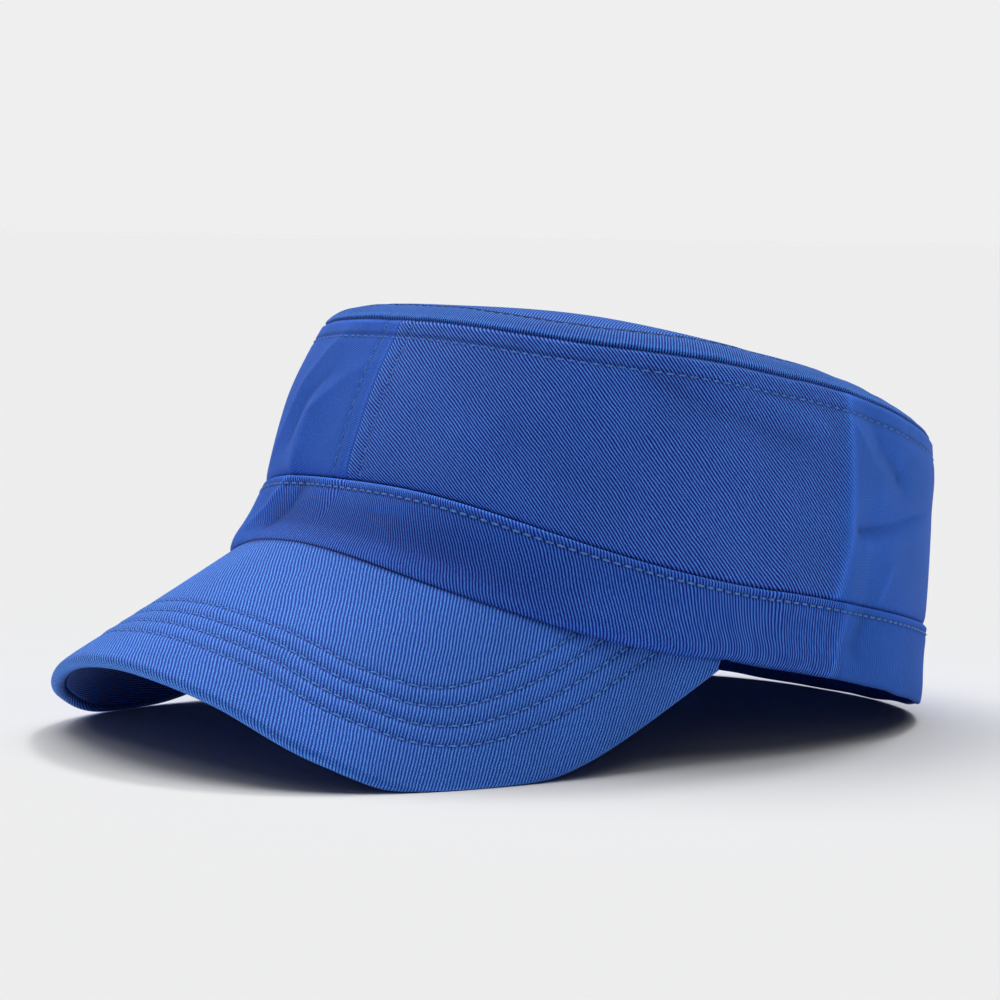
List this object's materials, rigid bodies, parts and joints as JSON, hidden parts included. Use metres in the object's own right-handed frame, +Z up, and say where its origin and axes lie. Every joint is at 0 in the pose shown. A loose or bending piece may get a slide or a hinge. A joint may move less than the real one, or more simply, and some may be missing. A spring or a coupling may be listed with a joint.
{
  "type": "patrol cap",
  "caption": "Flat-topped cotton twill patrol cap with an oval top, crown panels joined at the front and back, a sewn band and an arched, stitched peak.",
  "frame": {"origin": "middle of the cap's footprint box, on the surface it rests on", "axes": "+Z up, the peak points along -Y, and +X is the wearer's left"},
  "size_m": [0.1694, 0.2488, 0.1156],
  "materials": {
    "crown_twill": "blue cotton twill with raised diagonal ribs, matt",
    "band_twill": "blue cotton twill with nearly upright ribs, matt",
    "peak_twill": "blue cotton twill over a stiff sheet, matt, with stitch rows along the rim",
    "underside_twill": "blue cotton twill, matt"
  },
  "bodies": {
    "root": {"band": "band_twill", "crown_top": "crown_twill", "crown_left_panel": "crown_twill", "crown_right_panel": "crown_twill", "peak_upper": "peak_twill", "peak_underside": "underside_twill"}
  },
  "joints": []
}
